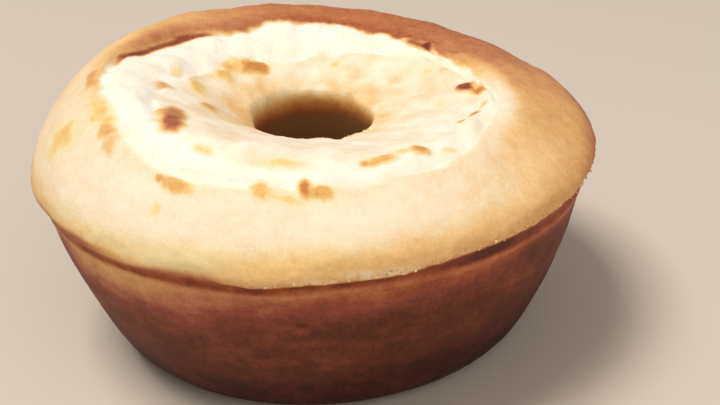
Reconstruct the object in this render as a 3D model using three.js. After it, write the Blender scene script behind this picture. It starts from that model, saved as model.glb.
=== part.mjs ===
import * as THREE from 'three';

// A cornmeal ring cake, turned out of its tin and standing risen side up.
// Millimetres. +Z is up, the middle of the hole is the Z axis, and angles run
// anticlockwise from +X when the cake is seen from above.

// ---- Driving dimensions ----

const segments = 108; // facets round the ring

const foot = { holeEdge: 36.5, holeCorner: 6, wallCorner: 16 }; // rounded edges of the flat underside

const hole = { bottomRadius: 30.5, topRadius: 24.4, mouthRadius: 23.6, waviness: 0.5 };

// The side that the tin gave: it flares up to the line where the tin ended.
const wall = { bottomRadius: 87.9, topRadius: 113.3, top: 68.8, bulge: 3.3 };

// The crease left by the tin's rim, and the lip that rose over that rim. The crease's
// high is the share of the way from its low edge up to the underside of the lip.
const crease = { radius: 113.4, low: 69.8, high: 0.42 };
const lip = { radius: 117.4, edge: 80, underside: 75.8, upAtRight: 0.9, ragged: 0.7 };

// Where the lip hangs lower: [angle, drop, spread]
const droops = [[233, 1.3, 6], [258, 3, 6], [270, 1.6, 9], [283, 1.8, 6]];

// The risen top: a rounded shoulder, a crown all round, and a dished middle.
const crown = { radius: 80, height: 109.8, shoulder: 1.47, dish: 1.25, mouth: 88.7 };
const lean = { right: -8.75, back: 3.8 }; // it rose more at the left and at the back
const mouthDip = { depth: 4, angle: 208, spread: 38, reach: 14 }; // the left of the hole's mouth sank

// The top split in a ring as it baked. Outside the split is golden crust, inside
// it a second island of crust round the hole, and pale crumb swells in between.
// A wave is [count round the ring, height, angle of a crest].
const outerSplit = {
  radius: 80.2,
  waves: [[1, 17.3, 258], [2, 3.4, 74], [3, 1.2, 315], [7, 1, 41], [11, 0.6, 9]],
};
const innerSplit = {
  radius: 62,
  waves: [[1, 22.3, 284], [2, 5, 65], [3, 2.2, 17], [8, 1, 31], [13, 0.7, 5]],
};
const crack = { depth: 0.3, deepest: 3.9, deepAngle: 150, deepSpread: 36, run: 2.4 };
const edgeLift = { outer: 0.5, inner: 0.25, reach: 9 }; // the torn edges of crust curl up
const crumbSwell = 1.2;

// Browned flakes of crust that stand up from the surface:
// [angle, radius, length, width, turn of the length away from the ring, rise]
const flakes = [
  [226, 74, 18, 11, 46, 1.2],
  [129, 41, 16, 5, 0, 0.9],
  [243, 99, 14, 5, 0, 0.9],
  [284, 87, 12, 5, 0, 0.9],
  [39, 66, 16, 6, 8, 1.1],
  [269, 98, 11, 5, 0, 0.9],
  [297, 82, 8, 5, 0, 0.9],
  [354, 68, 9, 8, 0, 1.0],
  [217, 94, 12, 6, 53, 0.9],
  [187, 89, 16, 6, 0, 0.9],
  [257, 98, 7, 5, 0, 0.7],
  [193, 60, 6, 6, 0, 0.8],
];

// Lumps of the surface: [height, distance from lump to lump]
const lumps = { crust: [0.5, 34], crumb: [0.8, 15], island: [0.6, 19], wall: [0.25, 30] };

const cakeColour = 0xe9b877; // golden baked crust

// ---- Helpers ----

const radians = (degrees) => degrees * Math.PI / 180;
const mix = (a, b, t) => a + (b - a) * t;
const bell = (x) => Math.exp(-x * x);

// The shortest way round from one angle to another, in degrees.
function turn(from, to) {
  const d = (to - from) % 360;
  return d > 180 ? d - 360 : d < -180 ? d + 360 : d;
}

// The radius of a closed line that wanders about a circle.
function wander({ radius, waves }, angle) {
  return waves.reduce((sum, [count, height, crest]) => (
    sum + height * Math.cos(radians(count * (angle - crest)))
  ), radius);
}

// Uneven lumps from six waves that cross at the golden angle, each a little longer than the last.
function lumpy([height, pitch], x, y) {
  let total = 0;
  for (let i = 0; i < 6; i += 1) {
    const along = x * Math.cos(radians(137.5 * i)) + y * Math.sin(radians(137.5 * i));
    total += Math.sin(2 * Math.PI * along / (pitch * (0.75 + 0.1 * i)) + 1.7 * i);
  }
  return height * total / 2.2;
}

// Between 0 and 1, stronger on some stretches of the ring than on others.
function patchy(start, angle) {
  return 0.5 + 0.25 * Math.sin(radians(2 * angle) + start) + 0.25 * Math.sin(radians(5 * angle) + 2 * start);
}

// ---- The risen top ----

const leanAt = (angle) => lean.right * Math.cos(radians(angle)) + lean.back * Math.sin(radians(angle));

const evenMouth = (angle) => crown.mouth + leanAt(angle) * hole.mouthRadius / crown.radius;

function dipAt(radius, angle) {
  const across = bell((radius - hole.mouthRadius) / mouthDip.reach);
  return mouthDip.depth * across * bell(turn(mouthDip.angle, angle) / mouthDip.spread);
}

const mouthHeight = (angle) => evenMouth(angle) - dipAt(hole.mouthRadius, angle);

function topHeight(radius, angle) {
  const peak = crown.height + leanAt(angle);
  if (radius >= crown.radius) {
    const out = Math.min(1, (radius - crown.radius) / (lip.radius - crown.radius));
    return mix(lip.edge, peak, Math.pow(1 - Math.pow(out, crown.shoulder), 1 / crown.shoulder));
  }
  const inward = (crown.radius - radius) / (crown.radius - hole.mouthRadius);
  return mix(peak, evenMouth(angle), Math.pow(inward, crown.dish)) - dipAt(radius, angle);
}

function flakeRise(radius, angle) {
  return flakes.reduce((rise, [at, middle, long, wide, turned, height]) => {
    const along = radians(turn(at, angle)) * middle;
    const across = radius - middle;
    const c = Math.cos(radians(turned));
    const s = Math.sin(radians(turned));
    const inLength = (along * c + across * s) / (0.5 * long);
    const inWidth = (across * c - along * s) / (0.5 * wide);
    return rise + height * bell(inLength) * bell(inWidth);
  }, 0);
}

function crackDepth(angle) {
  return crack.depth + crack.deepest * bell(turn(crack.deepAngle, angle) / crack.deepSpread);
}

function topPoint(radius, angle, lumpKind, offset) {
  const x = radius * Math.cos(radians(angle));
  const y = radius * Math.sin(radians(angle));
  const z = topHeight(radius, angle) + lumpy(lumpKind, x, y) + flakeRise(radius, angle) + offset;
  return [radius, z];
}

// ---- The closed outline at one angle, as [radius, height] points ----
// Each stretch is listed from the hole outwards; the whole runs up the wall and down the hole.

function holeWall(angle) {
  const corner = [0, 0.5, 1].map((t) => {
    const a = radians(90 * t);
    return [foot.holeEdge - foot.holeCorner * Math.sin(a), foot.holeCorner * (1 - Math.cos(a))];
  });
  const mouth = mouthHeight(angle);
  const crumbly = 0.6 * Math.sin(radians(9 * angle)) + 0.5 * Math.sin(radians(16 * angle + 40));
  const sides = [0.25, 0.5, 0.72, 0.88, 0.96].map((t) => {
    const waves = hole.waviness * Math.sin(radians(3 * angle + 200 * t));
    return [mix(hole.bottomRadius, hole.topRadius, t) + waves, mix(foot.holeCorner, mouth - 2, t)];
  });
  return [...corner, ...sides, [hole.mouthRadius + 1.3 + 0.5 * crumbly, mouth - 0.4 + 0.6 * crumbly]];
}

function crustIsland(angle) {
  const edge = wander(innerSplit, angle);
  return [0, 0.25, 0.5, 0.72, 0.88, 1].map((t) => {
    const radius = mix(hole.mouthRadius + 4, edge, t);
    const lift = 2 * edgeLift.inner * patchy(0.6, angle) * bell((edge - radius) / edgeLift.reach);
    return topPoint(radius, angle, lumps.island, lift);
  });
}

function paleCrumb(angle) {
  const inside = wander(innerSplit, angle) + 0.7 * crack.run;
  const outside = wander(outerSplit, angle) - crack.run;
  return [0, 0.22, 0.42, 0.6, 0.8, 1].map((t) => {
    const sunk = mix(-crack.depth, -crackDepth(angle), t * t);
    return topPoint(mix(inside, outside, t), angle, lumps.crumb, sunk + crumbSwell * Math.sin(Math.PI * t));
  });
}

function goldenCrust(angle) {
  const edge = wander(outerSplit, angle);
  return [0, 0.12, 0.3, 0.48, 0.64, 0.78, 0.89, 0.965].map((t) => {
    const radius = mix(edge, lip.radius, t);
    const lift = 2 * edgeLift.outer * patchy(2.2, angle) * bell((radius - edge) / edgeLift.reach);
    return topPoint(radius, angle, lumps.crust, lift);
  });
}

function lipAndCrease(angle) {
  const wave = [[17, 0], [11, 70], [29, 10]].reduce((sum, [count, start]) => (
    sum + Math.sin(radians(count * angle + start))
  ), 0);
  const ragged = lip.ragged * wave / 2;
  const droop = droops.reduce((sum, [at, drop, spread]) => sum + drop * bell(turn(at, angle) / spread), 0);
  const under = lip.underside + lip.upAtRight * Math.cos(radians(angle)) - droop + 0.6 * ragged;
  const out = lip.radius + ragged + 0.3 * droop; // it bulges where it hangs lower
  return [
    [lip.radius + 0.3 * ragged, lip.edge],
    [out, mix(under, lip.edge, 0.45)],
    [out - 0.8, under],
    [crease.radius + 0.6, mix(crease.low, under, crease.high)],
    [crease.radius, crease.low],
  ];
}

function wallRadius(z) {
  const t = z / wall.top;
  return mix(wall.bottomRadius, wall.topRadius, t) + 4 * wall.bulge * t * (1 - t);
}

function tinSide(angle) {
  const side = [1, 0.86, 0.68, 0.5, 0.32].map((t) => {
    const z = wall.top * t;
    return [wallRadius(z) + lumpy(lumps.wall, wallRadius(z) * Math.cos(radians(angle)), z), z];
  });
  // The rounded edge leaves the side where their slopes agree, and ends flat underneath.
  const slope = Math.atan((wall.topRadius - wall.bottomRadius + 4 * wall.bulge) / wall.top);
  const sweep = Math.PI / 2 - slope;
  const end = foot.wallCorner * (1 - Math.cos(sweep));
  const centre = wallRadius(end) - foot.wallCorner * Math.sin(sweep);
  const corner = [1, 0.7, 0.4, 0].map((t) => [
    centre + foot.wallCorner * Math.sin(sweep * t),
    foot.wallCorner * (1 - Math.cos(sweep * t)),
  ]);
  return [...side, ...corner];
}

function outline(angle) {
  return [
    ...holeWall(angle), ...crustIsland(angle), ...paleCrumb(angle),
    ...goldenCrust(angle), ...lipAndCrease(angle), ...tinSide(angle),
  ].reverse();
}

// ---- The solid ----

// A lathe turns the outline at angle 0, and each of its points then moves to the
// outline of its own angle.
function makeCake() {
  const start = outline(0).map(([radius, z]) => new THREE.Vector2(radius, z));
  const geometry = new THREE.LatheGeometry([...start, start[0]], segments);
  const place = geometry.getAttribute('position');
  const perTurn = start.length + 1;
  for (let i = 0; i <= segments; i += 1) {
    const angle = 360 * (i % segments) / segments;
    const points = outline(angle);
    for (let j = 0; j < perTurn; j += 1) {
      const [radius, z] = points[j % start.length];
      place.setXYZ(i * perTurn + j, radius * Math.cos(radians(angle)), radius * Math.sin(radians(angle)), z);
    }
  }
  geometry.computeVertexNormals();
  return geometry;
}

const cakeMaterial = new THREE.MeshStandardMaterial({ color: cakeColour, roughness: 0.8, metalness: 0 });
const cake = new THREE.Mesh(makeCake(), cakeMaterial);
cake.name = 'cake';

const model = new THREE.Group();
model.add(cake);

export default model;
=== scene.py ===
import math
import random
from types import SimpleNamespace

import bpy
import numpy as np
from mathutils import Matrix, Vector, noise


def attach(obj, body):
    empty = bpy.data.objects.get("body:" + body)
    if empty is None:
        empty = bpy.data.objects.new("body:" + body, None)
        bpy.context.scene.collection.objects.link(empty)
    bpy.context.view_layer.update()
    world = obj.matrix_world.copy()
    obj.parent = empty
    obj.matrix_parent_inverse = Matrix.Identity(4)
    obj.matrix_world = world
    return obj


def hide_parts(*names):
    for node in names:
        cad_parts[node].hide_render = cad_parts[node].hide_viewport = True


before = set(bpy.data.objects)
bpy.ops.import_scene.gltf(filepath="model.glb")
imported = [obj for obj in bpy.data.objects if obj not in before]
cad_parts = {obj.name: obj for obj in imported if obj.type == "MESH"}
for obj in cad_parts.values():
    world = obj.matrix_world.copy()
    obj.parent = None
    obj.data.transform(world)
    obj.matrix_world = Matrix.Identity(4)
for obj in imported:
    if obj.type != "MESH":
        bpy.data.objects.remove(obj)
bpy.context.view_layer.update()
mm = 0.001  # the cake is worked out in millimetres and made in metres


# small helpers

def selectNothing():
    if bpy.context.mode != "OBJECT":
        bpy.ops.object.mode_set(mode="OBJECT")
    bpy.ops.object.select_all(action="DESELECT")


def makeActive(piece):
    selectNothing()
    piece.select_set(True)
    bpy.context.view_layer.objects.active = piece


def applyModifiers(piece):
    makeActive(piece)
    for modifier in list(piece.modifiers):
        bpy.ops.object.modifier_apply(modifier=modifier.name)


def linearColour(hexColour):
    channels = [int(hexColour[i:i + 2], 16) / 255 for i in (1, 3, 5)]
    return tuple(c / 12.92 if c <= 0.04045 else ((c + 0.055) / 1.055) ** 2.4 for c in channels) + (1.0,)


def mix(a, b, t):
    return a + (b - a) * t


def bell(x):
    return np.exp(-x * x)


def smooth(low, high, x):
    t = np.clip((x - low) / (high - low), 0, 1)
    return t * t * (3 - 2 * t)


def turnTo(start, angle):
    return (angle - start + 180) % 360 - 180  # the shortest way round, in degrees


def near(middle, spread, angle):
    return bell(turnTo(middle, angle) / spread)  # 1 at the middle, fading to both sides


def spots(places, angle):
    return sum(amount * near(middle, spread, angle) for middle, spread, amount in places)


def noiseOn(points, size, octaves, seed, mask):
    # fractal noise with lumps of that size in mm, only where the mask shows; each seed looks at another part
    shift = Vector((seed * 31.7, seed * 12.9, seed * 5.3))
    dimension, lacunarity = 0.6, 2.0
    values = np.zeros(len(points))
    for i in np.flatnonzero(mask > 0.01):
        values[i] = noise.fractal(Vector(points[i]) / size + shift, dimension, lacunarity, octaves)
    return values


def readVertices(piece, field="co"):
    flat = np.zeros(len(piece.data.vertices) * 3)
    piece.data.vertices.foreach_get(field, flat)
    return flat.reshape(-1, 3)


def writeVertices(piece, points):
    piece.data.vertices.foreach_set("co", points.ravel())
    piece.data.update()


def readAttribute(piece, name):
    values = np.zeros(len(piece.data.vertices))
    piece.data.attributes[name].data.foreach_get("value", values)
    return values


def writeAttribute(piece, name, values):
    found = piece.data.attributes.get(name) or piece.data.attributes.new(name, "FLOAT", "POINT")
    found.data.foreach_set("value", np.asarray(values, np.float32))


def angleOf(points):
    return np.degrees(np.arctan2(points[:, 1], points[:, 0])) % 360


# camera, where the photo was taken from

cameraSet = {
    "place": (0, -434.5, 259.4),  # mm from the middle of the underside
    "heading": -2.37,             # degrees, turned to the right of the hole
    "tilt": 63.85,                # degrees up from looking straight down
    "roll": -2.75,
    "lens": 55,                   # mm, on a sensor 36 mm wide
}


def addCamera(c):
    bpy.ops.object.camera_add(location=[v * mm for v in c["place"]])
    camera = bpy.context.object
    turned = (Matrix.Rotation(math.radians(c["heading"]), 4, "Z")
              @ Matrix.Rotation(math.radians(c["tilt"]), 4, "X")
              @ Matrix.Rotation(math.radians(c["roll"]), 4, "Z"))
    camera.rotation_euler = turned.to_euler()
    camera.data.lens = c["lens"]
    camera.data.sensor_width = 36
    camera.data.clip_start = 0.01
    bpy.context.scene.camera = camera
    print("camera placed")


addCamera(cameraSet)


# the cake's form, in mm and degrees; angles run anticlockwise from +X as seen from above, with the front at
# 270. A spot is (angle, how far it spreads, amount), a wave is (how many round the ring, height, shift).

cakeForm = {
    "facets": 112,  # round the ring, before smoothing
    "foot": {"holeEdge": 36.5, "holeCorner": 6, "wallCorner": 16},
    "hole": {"bottomRadius": 30.5, "topRadius": 24.4, "mouthRadius": 23.6, "waviness": 0.5},
    "mouthEdge": {"out": 1.3, "down": 0.4, "rim": 3.2, "crumbly": [(9, 0.6, 0), (16, 0.5, 40)]},
    "mouthDip": {"place": (208, 38), "depth": 4, "reach": 14},
    "wall": {"bottomRadius": 87.9, "topRadius": 113.3, "top": 68.8, "bulge": 3.3},
    "crease": {"radius": 113.4, "low": 69.8, "high": 0.42},  # high is a share of the way up to the lip
    "lip": {"radius": 117.4, "edge": 80, "underside": 75.8, "upAtRight": 0.9},
    "ragged": {"height": 0.35, "waves": [(17, 1, 0), (11, 1, 70), (29, 1, 10)]},  # of the lip
    "droops": [(233, 6, 1.3), (258, 6, 3), (270, 9, 1.6), (283, 6, 1.8)],  # spots where the lip hangs lower
    "crown": {"radius": 80, "height": 109.8, "shoulder": 1.47, "dish": 1.25, "mouth": 88.7},
    "lean": {"right": -8.75, "back": 3.8},
    # the edges of the split: their mean radius, then waves, whose last number is the angle of a crest
    "outerSplit": (80.2, [(1, 17.3, 258), (2, 3.4, 74), (3, 1.2, 315), (7, 1, 41), (11, 0.6, 9)]),
    "innerSplit": (62, [(1, 22.3, 284), (2, 5, 65), (3, 2.2, 17), (8, 1, 31), (13, 0.7, 5)]),
    "crack": {"depth": 0.3, "deeper": [(150, 36, 3.9)], "run": 2.4, "innerRun": 0.7 * 2.4},
    "edgeLift": {"outer": 1, "inner": 0.5, "reach": 9},
    "crumbSwell": 1.2,
    "lumps": {  # height, and pitch from lump to lump
        "crust": (0.5, 34), "crumb": (0.8, 15), "island": (0.6, 19), "wall": (0.25, 30),
    },
}

# where the rows of the outline lie, as shares of the way over each stretch, closer where the form turns
rowShares = {
    "holeCorner": (0, 0.5, 1),
    "holeWall": (0.3, 0.6, 0.8, 0.92),
    "island": (0, 0.07, 0.22, 0.4, 0.58, 0.74, 0.87, 0.95, 1),
    "crumb": (0, 0.12, 0.28, 0.44, 0.6, 0.76, 0.9, 1),
    "crust": (0, 0.04, 0.14, 0.27, 0.4, 0.53, 0.66, 0.78, 0.88, 0.965),
    "wall": (1, 0.94, 0.86, 0.795, 0.74, 0.68, 0.6, 0.48, 0.34, 0.2),
    "wallCorner": (1, 0.66, 0.33, 0),
}


def waves(places, angle):
    return sum(height * np.sin(np.radians(count * angle + start)) for count, height, start in places)


def wander(line, angle):
    radius, crests = line
    return radius + sum(height * np.cos(np.radians(n * (angle - crest))) for n, height, crest in crests)


def lumpy(kind, x, y):
    height, pitch = cakeForm["lumps"][kind]
    total = 0
    for i in range(6):  # waves that cross at the golden angle, each a little longer than the last
        way = math.radians(137.5 * i)
        along = x * math.cos(way) + y * math.sin(way)
        total = total + np.sin(2 * math.pi * along / (pitch * (0.75 + 0.1 * i)) + 1.7 * i)
    return height * total / 2.2  # six such waves seldom add up to more


def patchy(start, angle):
    a = np.radians(angle)
    return 0.5 + 0.25 * np.sin(2 * a + start) + 0.25 * np.sin(5 * a + 2 * start)  # uneven, from 0 to 1


def leanAt(angle):
    a = np.radians(angle)
    return cakeForm["lean"]["right"] * np.cos(a) + cakeForm["lean"]["back"] * np.sin(a)


def dipAt(radius, angle):
    dip, mouth = cakeForm["mouthDip"], cakeForm["hole"]["mouthRadius"]
    return dip["depth"] * near(*dip["place"], angle) * bell((radius - mouth) / dip["reach"])


def evenMouth(angle):
    crown, hole = cakeForm["crown"], cakeForm["hole"]
    return crown["mouth"] + leanAt(angle) * hole["mouthRadius"] / crown["radius"]


def mouthHeight(angle):
    return evenMouth(angle) - dipAt(cakeForm["hole"]["mouthRadius"], angle)


def topHeight(radius, angle):
    crown, lip, hole = cakeForm["crown"], cakeForm["lip"], cakeForm["hole"]
    peak = crown["height"] + leanAt(angle)
    out = np.clip((radius - crown["radius"]) / (lip["radius"] - crown["radius"]), 0, 1)
    shoulder = mix(lip["edge"], peak, (1 - out ** crown["shoulder"]) ** (1 / crown["shoulder"]))
    inward = np.clip((crown["radius"] - radius) / (crown["radius"] - hole["mouthRadius"]), 0, 1.1)
    dish = mix(peak, evenMouth(angle), inward ** crown["dish"]) - dipAt(radius, angle)
    return np.where(radius >= crown["radius"], shoulder, dish)


def crackDepth(angle):
    return cakeForm["crack"]["depth"] + spots(cakeForm["crack"]["deeper"], angle)


def onTop(radius, angle, kind, lift):
    x = radius * np.cos(np.radians(angle))
    y = radius * np.sin(np.radians(angle))
    return radius, topHeight(radius, angle) + lumpy(kind, x, y) + lift


def holeWall(angle):
    foot, hole, edge = cakeForm["foot"], cakeForm["hole"], cakeForm["mouthEdge"]
    corner = foot["holeCorner"]
    rows = []
    for t in rowShares["holeCorner"]:
        a = math.radians(90 * t)
        rows.append((foot["holeEdge"] - corner * math.sin(a), corner * (1 - math.cos(a))))
    mouth = mouthHeight(angle)
    for t in rowShares["holeWall"]:
        uneven = hole["waviness"] * np.sin(np.radians(3 * angle + 200 * t))
        rows.append((mix(hole["bottomRadius"], hole["topRadius"], t) + uneven, mix(corner, mouth - 2, t)))
    crumbly = waves(edge["crumbly"], angle)
    rows.append((hole["mouthRadius"] + edge["out"] + 0.5 * crumbly, mouth - edge["down"] + 0.6 * crumbly))
    return rows


def crustIsland(angle):
    edge, lift = wander(cakeForm["innerSplit"], angle), cakeForm["edgeLift"]
    start = cakeForm["hole"]["mouthRadius"] + cakeForm["mouthEdge"]["rim"]
    rows = []
    for t in rowShares["island"]:
        radius = mix(start, edge, t)
        raised = lift["inner"] * patchy(0.6, angle) * bell((edge - radius) / lift["reach"])
        rows.append(onTop(radius, angle, "island", raised))
    return rows


def paleCrumb(angle):
    crack = cakeForm["crack"]
    inside = wander(cakeForm["innerSplit"], angle) + crack["innerRun"]
    outside = wander(cakeForm["outerSplit"], angle) - crack["run"]
    rows = []
    for t in rowShares["crumb"]:
        sunk = mix(-crack["depth"], -crackDepth(angle), t * t)
        swell = cakeForm["crumbSwell"] * math.sin(math.pi * t)
        rows.append(onTop(mix(inside, outside, t), angle, "crumb", sunk + swell))
    return rows


def goldenCrust(angle):
    edge, lift = wander(cakeForm["outerSplit"], angle), cakeForm["edgeLift"]
    rows = []
    for t in rowShares["crust"]:
        radius = mix(edge, cakeForm["lip"]["radius"], t)
        raised = lift["outer"] * patchy(2.2, angle) * bell((radius - edge) / lift["reach"])
        rows.append(onTop(radius, angle, "crust", raised))
    return rows


def lipAndCrease(angle):
    lip, crease = cakeForm["lip"], cakeForm["crease"]
    ragged = cakeForm["ragged"]["height"] * waves(cakeForm["ragged"]["waves"], angle)
    droop = spots(cakeForm["droops"], angle)
    under = lip["underside"] + lip["upAtRight"] * np.cos(np.radians(angle)) - droop + 0.6 * ragged
    out = lip["radius"] + ragged + 0.3 * droop  # it bulges where it hangs lower
    return [
        (lip["radius"] + 0.3 * ragged, lip["edge"]),
        (out, mix(under, lip["edge"], 0.45)),  # the bulge of the lip
        (out - 0.8, under),
        (crease["radius"] + 0.6, mix(crease["low"], under, crease["high"])),
        (crease["radius"], crease["low"]),
    ]


def wallRadius(z):
    wall = cakeForm["wall"]
    t = z / wall["top"]
    return mix(wall["bottomRadius"], wall["topRadius"], t) + 4 * wall["bulge"] * t * (1 - t)


def tinSide(angle):
    wall, corner = cakeForm["wall"], cakeForm["foot"]["wallCorner"]
    rows = []
    for t in rowShares["wall"]:
        radius, z = wallRadius(wall["top"] * t), wall["top"] * t
        rows.append((radius + lumpy("wall", radius * np.cos(np.radians(angle)), z), z))
    slope = math.atan((wall["topRadius"] - wall["bottomRadius"] + 4 * wall["bulge"]) / wall["top"])
    sweep = math.pi / 2 - slope
    centre = wallRadius(corner * (1 - math.cos(sweep))) - corner * math.sin(sweep)
    for t in rowShares["wallCorner"]:
        rows.append((centre + corner * math.sin(sweep * t), corner * (1 - math.cos(sweep * t))))
    return rows


stretches = [holeWall, crustIsland, paleCrumb, goldenCrust, lipAndCrease, tinSide]  # hole outwards, then down


def cakeOutline(angle):
    angle = np.asarray(angle, float)  # gives rows of radius and height at each of these angles
    rows = [row for stretch in stretches for row in stretch(angle)]
    return np.array([[np.broadcast_to(r, angle.shape), np.broadcast_to(z, angle.shape)] for r, z in rows])


# rows are counted along the outline; these are the first ones of the island, the lip and the side
rowStarts = np.cumsum([0] + [len(stretch(np.zeros(1))) for stretch in stretches])
islandRow, lipRow, sideRow = rowStarts[1], rowStarts[4], rowStarts[5]


# the cake: its outline is spun round the hole, then each facet takes the outline of its own angle

def spinCake():
    first = cakeOutline([0.0])[:, :, 0]
    selectNothing()
    bpy.ops.mesh.primitive_circle_add(vertices=len(first), radius=20 * mm, location=(0, 0, 0))
    cake = bpy.context.object
    cake.name = "bakedRingCake"
    writeVertices(cake, np.stack([first[:, 0], 0 * first[:, 0], first[:, 1]], 1) * mm)
    writeAttribute(cake, "row", np.arange(len(first)))
    bpy.ops.object.mode_set(mode="EDIT")
    bpy.ops.mesh.select_all(action="SELECT")
    bpy.ops.mesh.spin(steps=cakeForm["facets"], angle=2 * math.pi, center=(0, 0, 0), axis=(0, 0, 1))
    bpy.ops.mesh.select_all(action="SELECT")
    bpy.ops.mesh.remove_doubles(threshold=0.05 * mm)
    bpy.ops.mesh.normals_make_consistent(inside=False)
    bpy.ops.object.mode_set(mode="OBJECT")
    print("outline spun:", len(cake.data.vertices), "vertices")
    return cake


def bendToOutline(cake):
    facets = cakeForm["facets"]
    angle = np.round(angleOf(readVertices(cake)) * facets / 360) % facets * 360 / facets
    row = np.round(readAttribute(cake, "row")).astype(int)
    outline = cakeOutline(angle)
    every = np.arange(len(angle))
    radius, height = outline[row, 0, every], outline[row, 1, every]
    turned = np.radians(angle)
    writeVertices(cake, np.stack([radius * np.cos(turned), radius * np.sin(turned), height], 1) * mm)
    print("each facet bent to its own outline")


cake = spinCake()
bendToOutline(cake)
smoothing = cake.modifiers.new("smooth", "SUBSURF")
smoothing.levels = smoothing.render_levels = 2
applyModifiers(cake)
print("smoothed:", len(cake.data.polygons), "faces")


# flakes of crust: (angle, radius, length round the ring, width across it, turn of its length, rise, bake)

brownFlakes = [
    (225.2, 73.6, 25, 12, 45, 0.9, 0.59), (228.6, 78, 15, 10, 45, 0.2, 0.70), (218.5, 66, 9, 9, 0, 0.2, 0.50),
    (206, 45.4, 11, 8.5, 0, 0.7, 0.51), (193, 60, 9, 9, -30, 0.7, 0.43), (190, 87.6, 19, 7, 12, 0.8, 0.50),
    (237, 100.3, 5, 4, 0, 0.3, 0.52), (281, 86.9, 5, 4, 0, 0.3, 0.54),
    (41, 66, 19, 7, 0, 1.2, 0.66), (37, 66.3, 9, 6, 0, 0.5, 0.84), (24.5, 70.3, 9, 8, 0, 0.8, 0.66),
    (355.5, 63.8, 11, 9, 0, 1.0, 0.76), (329.5, 73.3, 7, 4, 0, 0.6, 0.58), (220, 96.6, 14, 8, 27, 0.9, 0.40),
    (216.5, 94, 11, 8, 0, 0.3, 0.50), (286, 115.1, 5, 2.5, 0, 0, 0.38),
]
goldenFlakes = [
    (129, 40.2, 17, 10, 0, 1.1, 0.55), (141, 43.5, 13, 9, 0, 0.8, 0.44), (152, 42, 12, 8, 0, 0.8, 0.40),
    (181, 47, 15, 8, 0, 0.5, 0.36), (174, 56, 12, 5, 0, 0.3, 0.25), (223, 46.5, 22, 5, 12, 0.4, 0.30),
    (263, 87.5, 18, 4, 0, 0.4, 0.32), (243, 87, 9, 6, 0, 0.3, 0.29), (241.5, 101.6, 18, 5, 5, 1.0, 0.43),
    (258.8, 100, 8, 6, 0, 0.9, 0.42), (263.5, 101.6, 13, 3.5, 4, 0.3, 0.34),
    (270.6, 98.8, 10, 5, 0, 0.8, 0.44), (267.4, 97.6, 5, 7, 0, 0.7, 0.58),
    (285, 86.5, 17, 6, -14, 1.2, 0.42), (291.5, 83.5, 8, 4, 0, 0.4, 0.31),
    (296, 84.7, 9, 7, 0, 1.2, 0.49), (303, 88, 6, 4, 0, 0.2, 0.27), (203, 104.5, 22, 12, -10, 0.2, 0.34),
    (207.5, 90.3, 22, 9, 0, 0.4, 0.38), (15, 70, 6, 5, 0, 0.3, 0.48), (350.5, 69.5, 10, 8, 0, 0.6, 0.55),
    (322, 71.9, 5, 4, 0, 0.3, 0.42), (337, 73.7, 5, 3, 0, 0.2, 0.33), (346, 53.9, 8, 5, 0, 0.2, 0.25),
    (23, 55.9, 6, 6, 0, 0.2, 0.28), (74, 40.3, 6, 5, 0, 0.3, 0.36), (239, 108.8, 6, 5, 0, 0.2, 0.28),
]

# dents in the side: (angle, height, length, height of the dent, depth)
wallDents = [
    (265.2, 51.4, 6.5, 5, 1.6), (254, 55, 9, 3, 0.4), (259, 49, 14, 4, 0.35), (276, 44, 20, 5, 0.3),
    (243, 40, 12, 5, 0.4), (222, 58, 7, 4, 0.5), (307, 52, 9, 5, 0.45), (335, 38, 12, 5, 0.5),
    (12, 56, 6, 4, 0.6), (38, 30, 15, 6, 0.5), (74, 50, 8, 5, 0.5), (101, 34, 16, 6, 0.4),
    (128, 57, 6, 4, 0.6), (163, 42, 12, 6, 0.5), (190, 27, 14, 5, 0.4),
]

# paler scuffs of the side: (angle, height, length, height of the scuff, how much paler)
wallScuffs = [
    (268, 33, 40, 6, 0.03), (279, 31, 30, 5, 0.02), (265, 44.5, 22, 5, 0.04), (269, 66, 16, 4, 0.03),
    (277.5, 66, 14, 4, 0.04), (243, 50, 26, 6, 0.04), (212, 38, 34, 7, 0.04), (318, 45, 30, 6, 0.02),
    (352, 52, 26, 6, 0.04), (25, 38, 40, 7, 0.04), (63, 56, 24, 6, 0.04), (96, 45, 36, 7, 0.04),
    (140, 34, 40, 7, 0.04), (171, 55, 24, 6, 0.04),
]

# lumps that are worked in: (height, size, octaves, seed), in mm
fineRelief = {
    "crumbLump": (0.22, 9, 2, 5),
    "crumbGrain": (0.2, 3.2, 2, 7),
    "crustLump": (0.34, 8, 2, 9),
    "crustGrain": (0.11, 3.2, 2, 10),
    "mouth": (0.9, 4, 2, 11),
    "wall": (0.16, 7, 2, 13),
    "lip": (0.9, 3.5, 4, 15),
    "tear": (1.6, 11, 3, 3),  # how far the split's edges stray
}
rimRidge = {"height": 67.6, "width": 1.1, "rise": 0.5}  # the edge that the tin's rim pressed

# the pale crumb, in mm from the lines of the split
crumbPatch = {
    "step": 0.25,                # down to it from the crust
    "inside": 0.8,               # how far outside the inner line it starts
    "outside": 2,                # how far inside the outer line it ends
    "covered": [(205, 9, 4.5)],  # spots where it ends sooner, because the crust reaches further in
}

# how a flake ends, where 0 is its middle and 1 its edge
flakeEnds = {
    "ragged": (0.36, 6, 2, 17),  # as in fineRelief
    "relief": (0.5, 1.15),       # where it starts to fade and where it is gone
    "colour": (0.3, 1.4),
    "rise": 0.7,                 # share of the rise in the lists
    "gold": 0.95,                # how golden the golden ones are
}

# stretches of the ring that differ: (angle, how far it spreads)
ringParts = {
    "fadedSplit": (338, 38),
    "softSplit": (255, 50),
    "crumblyMouth": (270, 50),
    "smoothDip": (200, 50),
}


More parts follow.
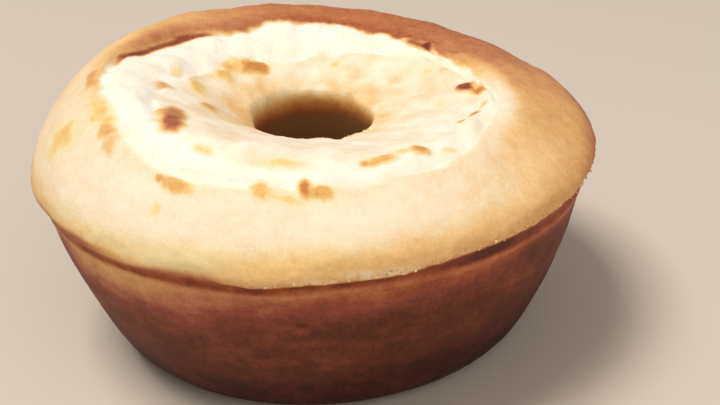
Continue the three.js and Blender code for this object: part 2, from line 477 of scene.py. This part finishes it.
def patchesOf(p, patch, mask, flat=1):
    amount, size, octaves, seed = patch  # flat is how much lower than wide the patches are
    return amount * noiseOn(p.points * (1, 1, flat), size, octaves, seed, mask)


def placesOn(cake):
    points, row = readVertices(cake) / mm, readAttribute(cake, "row")
    p = SimpleNamespace(points=points, row=row, height=points[:, 2], angle=angleOf(points))
    p.normal = readVertices(cake, "normal")
    p.radius = np.hypot(points[:, 0], points[:, 1])
    p.toLip = p.height + spots(cakeForm["droops"], p.angle)

    # the parts of the cake, each as a mask from 0 to 1
    p.above = smooth(1, 6, p.height)  # the flat underside stays plain
    p.top = p.above * smooth(islandRow - 2, islandRow - 0.5, row)
    p.top *= 1 - smooth(lipRow + 0.5, lipRow + 1.5, row)
    p.side = p.above * smooth(sideRow - 1, sideRow, row)
    p.insideHole = p.above * (1 - smooth(islandRow - 1.5, islandRow - 0.1, row))
    p.nearMouth = p.above * bell((row - islandRow + 0.5) / 1.5) * near(*ringParts["crumblyMouth"], p.angle)
    p.lip = p.above * bell((row - lipRow - 1.6) / 0.9)
    p.overWall = smooth(lipRow + 2.1, lipRow + 2.8, row)
    p.faded = near(*ringParts["fadedSplit"], p.angle)
    p.soft = near(*ringParts["softSplit"], p.angle)
    p.deepCrack = smooth(124, 136, p.angle) * smooth(186, 174, p.angle)
    p.crumbly = smooth(0.2, 0.55, np.cos(np.radians(p.angle - 322)))  # the lip is rough at the right

    # how far each point lies inside the split, past its ragged inner and outer edges
    tear = p.top * patchesOf(p, fineRelief["tear"], p.top) * (1 - 0.8 * p.deepCrack)
    innerLine, outerLine = (wander(cakeForm[name], p.angle) for name in ("innerSplit", "outerSplit"))
    p.pastInner = p.radius - innerLine - crumbPatch["inside"] + tear
    p.pastOuter = outerLine - crumbPatch["outside"] - spots(crumbPatch["covered"], p.angle) - p.radius + tear
    p.crumb = p.top * smooth(-1, 1.2, p.pastInner) * smooth(-0.8, 1, p.pastOuter) * (1 - 0.85 * p.faded)
    p.island = p.top * (1 - smooth(-2.5, 3, p.pastInner))
    return p


def awayOnSide(p, angle, height, length, tall):
    along = np.radians(turnTo(angle, p.angle)) * p.radius
    return np.hypot(along / (0.5 * length), (p.height - height) / (0.5 * tall))  # 1 at the edge of the patch


# each dent is pressed into the side, and its colour is painted shade above and painted light below
def dentSide(p):
    p.dentDepth, p.dentBake = np.zeros(len(p.row)), np.zeros(len(p.row))
    for angle, height, length, tall, deep in wallDents:
        away = awayOnSide(p, angle, height, length, tall)
        p.dentDepth += p.side * deep * bell(1.4 * away)
        p.dentBake += 0.35 * p.side * deep * bell(1.2 * away) * (p.height - height) / tall  # painted shade on its upper edge and painted light on its lower edge


def layFlakes(p):
    p.flakeRise, p.flakeBake, p.flakeGold = (np.zeros(len(p.row)) for _ in range(3))
    raggedEdge = patchesOf(p, flakeEnds["ragged"], p.top)
    for flakes, gold in ((brownFlakes, 0), (goldenFlakes, flakeEnds["gold"])):
        for angle, radius, length, width, turned, high, bake in flakes:
            along = np.radians(turnTo(angle, p.angle)) * radius
            across = p.radius - radius
            c, s = math.cos(math.radians(turned)), math.sin(math.radians(turned))
            lengthwise, sideways = along * c + across * s, across * c - along * s
            away = np.hypot(lengthwise / (0.5 * length), sideways / (0.5 * width)) + raggedEdge
            shown = p.top * (1 - smooth(*flakeEnds["colour"], away)) ** 0.7
            p.flakeRise += flakeEnds["rise"] * high * p.top * (1 - smooth(*flakeEnds["relief"], away))
            p.flakeBake = np.maximum(p.flakeBake, bake * shown)
            p.flakeGold = np.maximum(p.flakeGold, gold * shown)


def reliefOf(p):
    dry = 1 - 0.6 * smooth(46, 32, p.radius) * near(*ringParts["smoothDip"], p.angle)
    masks = {
        "crumbLump": p.crumb,
        "crumbGrain": p.crumb,
        "crustLump": (p.top - p.crumb) * dry,
        "crustGrain": p.top * dry,
        "mouth": p.nearMouth,
        "wall": p.side,
        "lip": p.lip * mix(0.15, 1, p.crumbly),
    }
    rise = sum(mask * patchesOf(p, fineRelief[name], mask) for name, mask in masks.items())
    rise -= crumbPatch["step"] * p.crumb * (1 - 0.7 * p.soft)
    rise += rimRidge["rise"] * p.side * bell((p.height - rimRidge["height"]) / rimRidge["width"])
    return rise - p.dentDepth + p.flakeRise


# how far each place is baked, from 0, the palest crumb, to 1, dark brown. Some bands also carry painted shade
# and painted highlights, marked where they stand.
# A band is (what it is measured by, where it starts, where it is full, its change of bake, spots of more).
cakeBake = {
    "underside": 0.92,
    "crust": {
        "plain": 0.165,
        "spots": [(92, 75, 0.46), (22, 42, 0.25), (330, 34, 0.18), (262, 20, 0.03), (205, 22, 0.02)],
        "bands": [
            # browner down the shoulder towards the lip: partly baked brown, partly painted shade where the
            # crust turns down
            ("height", 91, 79, 0.2, [(232, 32, -0.1), (326, 24, -0.1)]),
            ("height", 86, 79, 0, [(247, 8, -0.045)]),
            ("toLip", 81, 77, 0, [(258, 9, 0.07)]),
        ],
        # browner under the lip's rolled edge at the left: partly baked brown, partly painted shade
        "lipEdge": [  # the browner one of these shows
            ("toLip", 78.6, 74.6, 0, [(236, 24, 0.4)]),
            ("height", 79.8, 76.4, 0, [(218, 16, 0.36)]),
        ],
        "alongSplit": [  # (mm outside it, how far it spreads, change of bake, spots of more)
            (2, 3, 0.05, []),
            (4, 5, 0, [(160, 21, 0.2), (203, 11, 0.04)]),
        ],
        "fadedSplit": 0.15,
    },
    "crumb": {"plain": 0.04, "moreWhereFaded": 0.08},
    "island": {
        "plain": 0.16,
        "spots": [(15, 60, 0.07)],
        "bands": [
            ("radius", 42, 26, 0.11, []),
            # browner left of the hole: partly its baked tint, partly painted shade on the slope down into the
            # hole
            ("radius", 62, 38, 0, [(200, 50, 0.12)]),
            ("radius", 48, 60, 0, [(325, 20, -0.09)]),
        ],
        "patches": (0.11, 11, 2, 29),  # as in fineRelief, with a change of bake for the height
    },
    # the foot of the deep crack at the back: partly browned torn crust, partly painted shade under the
    # crust's edge
    "crackFoot": 0.73,
    "hole": {
        "plain": 0.78,
        "spots": [],
        "bands": [
            # darker down the hole: partly its tube-baked crust, partly painted shade; the spot at the right
            # is painted light on the inner wall that the light reaches
            ("height", 77, 95, -0.58, []),
            ("height", 60, 40, 0.12, []),
            ("height", 60, 80, 0, [(10, 50, -0.15)]),
        ],
    },
    "torn": {"plain": 0.46, "spots": [(275, 11, -0.22)], "patches": (1, 7, 3, 19)},  # the lip's rough edge, paler partly as torn crumb and partly as a painted highlight; the spot is more painted highlight
    "wall": {
        "plain": 1.01,
        "spots": [],
        # darker towards the bottom of the side: partly its baked brown, partly painted shade low on the side
        "bands": [("height", 0, 40, -0.17, []), ("height", 60, 30, 0, [(320, 30, 0.06)])],
        "patches": (0.045, 26, 3, 23),
        # the side's paler top: partly its baked colour, partly painted light where its rounded top edge and
        # its left face catch the light
        "paleAndLitTop": {
            "from": 45, "higherAt": [(335, 55, 17)], "to": 67,
            "change": -0.12, "spots": [(228, 20, -0.23)],
        },
        # painted shade on the front of the side
        "paintedShadeAtFront": {"spots": [(282, 13, 0.055)], "above": (10, 25), "below": (66, 52)},
        # a painted highlight along the edge that the tin's rim pressed, weaker at the left
        "paintedRimHighlight": {"height": 67.3, "width": 1.3, "change": -0.06, "spots": [(236, 22, 0.042)]},
    },
    "crease": {
        "left": 0.7,
        "elsewhere": 0.74,
        # the spot and the line below are painted shade, darkest right under the overhanging lip
        "spots": [(302, 10, 0.14)],
        "patches": (0.06, 8, 2, 31),
        "starts": (68.2, 69.7),  # mm up, from the side's bake to its own
        "uneven": [(279, 12, -1.1), (258, 7, 0.8)],  # the line that the tin's rim left, in mm
        "line": {"height": 70.8, "width": 1.3, "change": 0.03, "spots": []},
    },
}

# how golden the fat of the tin browned it, at spots
cakeGold = {
    "lip": [(252, 42, 0.85)],
    "side": [(290, 26, 0.5)],
    "back": [(72, 38, 0.5)],
    # in the crease this golden hue colours its painted shade
    "crease": [(265, 75, 0.5)],
}


def bandsOf(p, bands):
    return [(change + spots(places, p.angle)) * smooth(start, full, getattr(p, measure))
            for measure, start, full, change, places in bands]


def lineOf(p, line, height):
    return (line["change"] + spots(line["spots"], p.angle)) * bell((height - line["height"]) / line["width"])


def plainBake(p, part):
    return part["plain"] + spots(part["spots"], p.angle) + sum(bandsOf(p, part["bands"]))


def crustBake(p):
    c = cakeBake["crust"]
    bake = plainBake(p, c) + np.maximum(*bandsOf(p, c["lipEdge"]))
    for away, spread, change, places in c["alongSplit"]:
        bake += (change + spots(places, p.angle)) * bell((p.pastOuter + away) / spread)
    return mix(bake, c["fadedSplit"], 0.9 * p.faded * smooth(-13, -3, p.pastOuter))


def wallBake(p):
    wall, crease = cakeBake["wall"], cakeBake["crease"]
    top, front = wall["paleAndLitTop"], wall["paintedShadeAtFront"]
    bake = plainBake(p, wall) + p.dentBake + p.side * patchesOf(p, wall["patches"], p.side, flat=2.5)
    # paler top of the side, partly painted light
    start = top["from"] + spots(top["higherAt"], p.angle)
    bake += (top["change"] + spots(top["spots"], p.angle)) * smooth(start, top["to"], p.height)
    # painted shade on the front of the side, between these heights
    dimmed = spots(front["spots"], p.angle) * smooth(*front["above"], p.height)
    bake += dimmed * smooth(*front["below"], p.height)
    for angle, height, length, tall, paler in wallScuffs:
        bake -= p.side * paler * bell(awayOnSide(p, angle, height, length, tall))
    height = p.height + spots(crease["uneven"], p.angle)
    # painted highlight along the rim's edge
    bake += lineOf(p, wall["paintedRimHighlight"], height)
    p.crease = smooth(*crease["starts"], height)
    inside = mix(crease["left"], crease["elsewhere"], smooth(-0.75, -0.35, np.cos(np.radians(p.angle))))
    # painted shade under the overhanging lip
    inside += spots(crease["spots"], p.angle) + lineOf(p, crease["line"], height)
    inside += patchesOf(p, crease["patches"], p.above * p.crease * smooth(82, 79, p.height), flat=2)
    return mix(bake, inside, p.crease)


def bakeOf(p):
    crumb = cakeBake["crumb"]["plain"] + cakeBake["crumb"]["moreWhereFaded"] * p.faded
    softness = 1.5 + 2 * p.soft  # mm
    bake = mix(crustBake(p), crumb, p.top * smooth(-softness, softness, p.pastOuter))
    island = plainBake(p, cakeBake["island"]) + patchesOf(p, cakeBake["island"]["patches"], p.island)
    bake = mix(bake, island, p.island)
    # partly browned crust, partly painted shade at the foot of the deep crack
    foot = p.deepCrack * smooth(-1.5, -0.3, p.pastOuter) * smooth(1.6, 0.5, p.pastOuter)
    bake = np.maximum(bake, cakeBake["crackFoot"] * p.top * foot)
    bake = np.maximum(bake, p.flakeBake)
    bake = mix(bake, plainBake(p, cakeBake["hole"]), p.insideHole)
    torn = cakeBake["torn"]
    # the lip's rough edge, partly torn crumb and partly painted highlight
    p.torn = smooth(0.3, 1.3, p.row - lipRow) * smooth(2.6, 2.1, p.row - lipRow)
    p.torn *= p.crumbly * smooth(-0.3, 0.15, patchesOf(p, torn["patches"], p.lip))
    bake = mix(bake, torn["plain"] + spots(torn["spots"], p.angle), 0.9 * p.torn)
    bake = mix(bake, wallBake(p), p.overWall)
    return mix(cakeBake["underside"], bake, smooth(0.5, 2.5, p.height))


def ovenOf(p):
    lowOnLip = p.top * smooth(90, 81, p.height) * (1 - p.torn)
    highOnSide = p.side * smooth(58, 65, p.height)
    backCrust = p.top * (1 - smooth(-2, 2, p.pastOuter))
    # the golden hue of the crease's painted shade, left out at its darkest spot
    inCrease = p.above * p.overWall * p.crease * (1 - near(303, 12, p.angle))
    inHole = p.insideHole * (1 + smooth(84, 75.5, p.height) * smooth(25, 55, p.height))
    return np.maximum.reduce([  # from 0, plain, to 1, golden, and on to 2 deep in the hole
        p.flakeGold,
        inHole,
        lowOnLip * spots(cakeGold["lip"], p.angle),
        highOnSide * spots(cakeGold["side"], p.angle),
        backCrust * spots(cakeGold["back"], p.angle),
        inCrease * (0.5 + spots(cakeGold["crease"], p.angle)),
    ])


def sculptCake(cake):
    p = placesOn(cake)
    dentSide(p)
    layFlakes(p)
    writeVertices(cake, (p.points + p.normal * (p.above * reliefOf(p))[:, None]) * mm)
    # the bake attribute carries the painted shade and painted highlights as well
    writeAttribute(cake, "bake", bakeOf(p))
    writeAttribute(cake, "crumb", np.maximum(p.crumb, 0.6 * p.nearMouth))
    writeAttribute(cake, "oven", ovenOf(p))
    print("relief and bake worked in")


sculptCake(cake)


# materials

def addNode(tree, kind, settings, inputs):
    node = tree.nodes.new(kind)
    for name, value in settings.items():
        setattr(node, name, value)
    for name, value in inputs.items():
        if isinstance(value, bpy.types.NodeSocket):
            tree.links.new(value, node.inputs[name])
        else:
            node.inputs[name].default_value = value
    return node


def fillRamp(node, stops):
    ramp = node.color_ramp
    while len(ramp.elements) < len(stops):
        ramp.elements.new(0.5)
    for element, (place, colour) in zip(ramp.elements, stops):
        element.position = place
        element.color = linearColour(colour)


# Baked cornmeal batter: dull and slightly translucent. It goes from cream crumb to golden, then brown crust.
cakeFinish = {
    "bakeColours": [
        (0.00, "#FDF9EF"), (0.12, "#FAF0D9"), (0.24, "#F6E0BE"), (0.36, "#F0C78F"), (0.48, "#E2AD6F"),
        (0.60, "#C68359"), (0.74, "#974C35"), (0.87, "#652E21"), (1.00, "#391811"),
    ],
    "goldenColours": [  # where fat from the tin browned it
        (0.12, "#F8ECCB"), (0.25, "#F5DFA6"), (0.36, "#F2C77E"), (0.52, "#D2914C"), (0.70, "#AE5B2B"),
        (0.80, "#7E3B1A"), (1.00, "#452F12"),
    ],
    "deepHole": "#8E6236",  # where little but brown light comes down
    "mottle": [(12, 0.06), (4, 0.07), (1.3, 0.07)],  # size in mm and change of bake
    "crustGrain": (1.0, 0.3),  # size and depth in mm
    "crustPores": (4.5, 0.7, 0.35),  # distance apart, width and depth in mm
    "crumbGrain": (1.7, 0.5),
    "crumbPores": (2.8, 1.3, 0.28),
}


def bakedCakeMaterial(c):
    material = bpy.data.materials.new("bakedCornmealBatter")
    material.use_nodes = True
    tree = material.node_tree
    shader = tree.nodes["Principled BSDF"]
    place = addNode(tree, "ShaderNodeTexCoord", {}, {}).outputs["Object"]
    bake, crumb, oven = (addNode(tree, "ShaderNodeAttribute", {"attribute_name": name}, {}).outputs["Fac"]
                         for name in ("bake", "crumb", "oven"))

    def calculate(operation, a, b, c=0.0):
        return addNode(tree, "ShaderNodeMath", {"operation": operation}, {0: a, 1: b, 2: c}).outputs[0]

    def mixColours(share, a, b):
        return addNode(tree, "ShaderNodeMix", {"data_type": "RGBA"}, {0: share, 6: a, 7: b}).outputs[2]

    def grainOf(size):
        return addNode(tree, "ShaderNodeTexNoise", {}, {
            "Vector": place, "Scale": 1 / (size * mm), "Detail": 4.0, "Roughness": 0.6}).outputs["Fac"]

    def poresOf(apart, width):
        cells = addNode(tree, "ShaderNodeTexVoronoi", {}, {"Vector": place, "Scale": 1 / (apart * mm)})
        return addNode(tree, "ShaderNodeMapRange", {"interpolation_type": "SMOOTHSTEP"}, {
            "Value": cells.outputs["Distance"], "From Min": 0.0, "From Max": 0.5 * width / apart,
            "To Min": -1.0, "To Max": 0.0}).outputs[0]

    for size, change in c["mottle"]:
        centred = calculate("SUBTRACT", grainOf(size), 0.5)
        bake = calculate("MULTIPLY_ADD", centred, 2 * change, bake)
    surfaces = []
    for grain, pores in (("crustGrain", "crustPores"), ("crumbGrain", "crumbPores")):
        size, depth = c[grain]
        apart, width, poreDepth = c[pores]
        deepened = calculate("MULTIPLY", poresOf(apart, width), poreDepth)
        surfaces.append(calculate("MULTIPLY_ADD", grainOf(size), depth, deepened))
    surface = addNode(tree, "ShaderNodeMix", {"data_type": "FLOAT"}, {
        0: crumb, 2: surfaces[0], 3: surfaces[1]}).outputs[0]
    bump = addNode(tree, "ShaderNodeBump", {}, {"Height": surface, "Distance": mm, "Strength": 0.7})
    tree.links.new(bump.outputs["Normal"], shader.inputs["Normal"])
    plain, golden = (addNode(tree, "ShaderNodeValToRGB", {}, {"Fac": bake}) for _ in range(2))
    fillRamp(plain, c["bakeColours"])
    fillRamp(golden, c["goldenColours"])
    colour = mixColours(oven, plain.outputs["Color"], golden.outputs["Color"])
    deep = calculate("SUBTRACT", oven, 1.0)
    colour = mixColours(deep, colour, linearColour(c["deepHole"]))
    tree.links.new(colour, shader.inputs["Base Color"])

    shader.inputs["Roughness"].default_value = 0.65
    shader.inputs["IOR"].default_value = 1.45
    shader.inputs["Specular IOR Level"].default_value = 0.3
    shader.inputs["Subsurface Weight"].default_value = 0.12
    shader.inputs["Subsurface Radius"].default_value = (1.0, 0.6, 0.3)
    shader.inputs["Subsurface Scale"].default_value = 2.5 * mm
    return material


bakedBatter = bakedCakeMaterial(cakeFinish)
cake.data.materials.append(bakedBatter)
makeActive(cake)
bpy.ops.object.shade_smooth()
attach(cake, "root")
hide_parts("cake")
print("cake finished")


# loose crumbs, along the rough lip and at the mouth of the hole

crumbSet = {
    "seed": 12,
    "sizes": (0.35, 0.9),  # mm across, before stretch and lumps make some of them up to 1.6 mm long
    "stretch": (0.7, 1.3),
    "turn": (0, 6.28),     # radians
    "lift": 0.2,           # of its size, from the surface up to its middle
    "bake": (0.26, 0.48),
    "count": {"lip": 170, "mouth": 14},
}


def makeOneCrumb():
    selectNothing()
    bpy.ops.mesh.primitive_ico_sphere_add(subdivisions=2, radius=0.5 * mm, location=(0, 0, 0))
    crumb = bpy.context.object
    crumb.name = "looseCrumbs"
    points = readVertices(crumb) / mm
    uneven = 1 + 1.1 * noiseOn(points, 0.45, 2, 21, np.ones(len(points)))
    writeVertices(crumb, points * uneven[:, None] * mm)
    crumb.data.materials.append(bakedBatter)
    return crumb


def crumbPlaces(cake):
    points, row = readVertices(cake) / mm, readAttribute(cake, "row")
    angle = angleOf(points)
    high = points[:, 2] > 60
    where = {
        "lip": high & (abs(row - lipRow - 1.7) < 0.5) & (np.cos(np.radians(angle - 320)) > 0.45),
        "mouth": high & (abs(row - islandRow + 0.4) < 0.6) & (angle > 210) & (angle < 330),
    }
    # spinning numbers the vertices anew in each run, so they are sorted by row and angle before any is picked
    inOrder = np.lexsort(((angle + 0.4) % 360, np.round(4 * row)))
    return {zone: list(inOrder[chosen[inOrder]]) for zone, chosen in where.items()}


def scatterCrumbs(c, cake):
    points, normal = readVertices(cake) / mm, readVertices(cake, "normal")
    places = crumbPlaces(cake)
    pick = random.Random(c["seed"])
    first = makeOneCrumb()
    shape = readVertices(first)
    copies = []
    for zone, count in c["count"].items():
        for i in pick.sample(places[zone], count):
            crumb = first.copy()
            crumb.data = first.data.copy()
            bpy.context.collection.objects.link(crumb)
            size = pick.uniform(*c["sizes"])
            stretch = [size * pick.uniform(*c["stretch"]) for _ in range(3)]
            turns = [Matrix.Rotation(pick.uniform(*c["turn"]), 3, axis) for axis in ("Z", "X")]
            turned = np.array(turns[0] @ turns[1])
            centre = points[i] + normal[i] * c["lift"] * size
            writeVertices(crumb, (shape * stretch) @ turned.T + centre * mm)
            writeAttribute(crumb, "bake", np.full(len(shape), pick.uniform(*c["bake"])))
            writeAttribute(crumb, "crumb", np.ones(len(shape)))
            writeAttribute(crumb, "oven", np.zeros(len(shape)))
            copies.append(crumb)
    bpy.data.objects.remove(first)
    selectNothing()
    for crumb in copies:
        crumb.select_set(True)
    bpy.context.view_layer.objects.active = copies[0]
    bpy.ops.object.join()
    bpy.ops.object.shade_smooth()
    copies[0].name = "looseCrumbs"
    print("crumbs scattered:", len(copies))
    return copies[0]


crumbs = scatterCrumbs(crumbSet, cake)
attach(crumbs, "root")


# floor, light and background

stageSet = {
    "floor": "#D3C7BB",
    "lights": [  # name, place and aim in metres, size, watts, colour
        ("keyLight", (-1.05, -0.12, 3.2), (0, 0, 0.08), 1.3, 86, "#FFFAF2"),
        ("fillLight", (0.6, -1.4, 0.9), (0, 0, 0.05), 1.6, 10, "#FFF6EA"),
    ],
    "world": ("#FCF8F2", 0.3),
}


def addFloor(colour):  # a plain sheet of matt paper
    selectNothing()
    bpy.ops.mesh.primitive_plane_add(size=30, location=(0, 0, 0))
    floor = bpy.context.object
    floor.name = "studioFloor"
    paper = bpy.data.materials.new("paleBackdropPaper")
    paper.use_nodes = True
    shader = paper.node_tree.nodes["Principled BSDF"]
    shader.inputs["Base Color"].default_value = linearColour(colour)
    shader.inputs["Roughness"].default_value = 0.9
    floor.data.materials.append(paper)


def addAreaLight(name, place, aim, size, power, colour):
    bpy.ops.object.light_add(type="AREA", location=place)
    light = bpy.context.object
    light.name = name
    light.data.size = size
    light.data.energy = power
    light.data.color = linearColour(colour)[:3]
    light.rotation_euler = (Vector(aim) - Vector(place)).to_track_quat("-Z", "Y").to_euler()


def lightWorld(colour, strength):
    world = bpy.data.worlds.new("studio")
    bpy.context.scene.world = world
    world.use_nodes = True
    world.node_tree.nodes["Background"].inputs["Color"].default_value = linearColour(colour)
    world.node_tree.nodes["Background"].inputs["Strength"].default_value = strength


addFloor(stageSet["floor"])
for light in stageSet["lights"]:
    addAreaLight(*light)
lightWorld(*stageSet["world"])
bpy.context.scene.view_settings.view_transform = "Standard"
print("floor and lights placed")
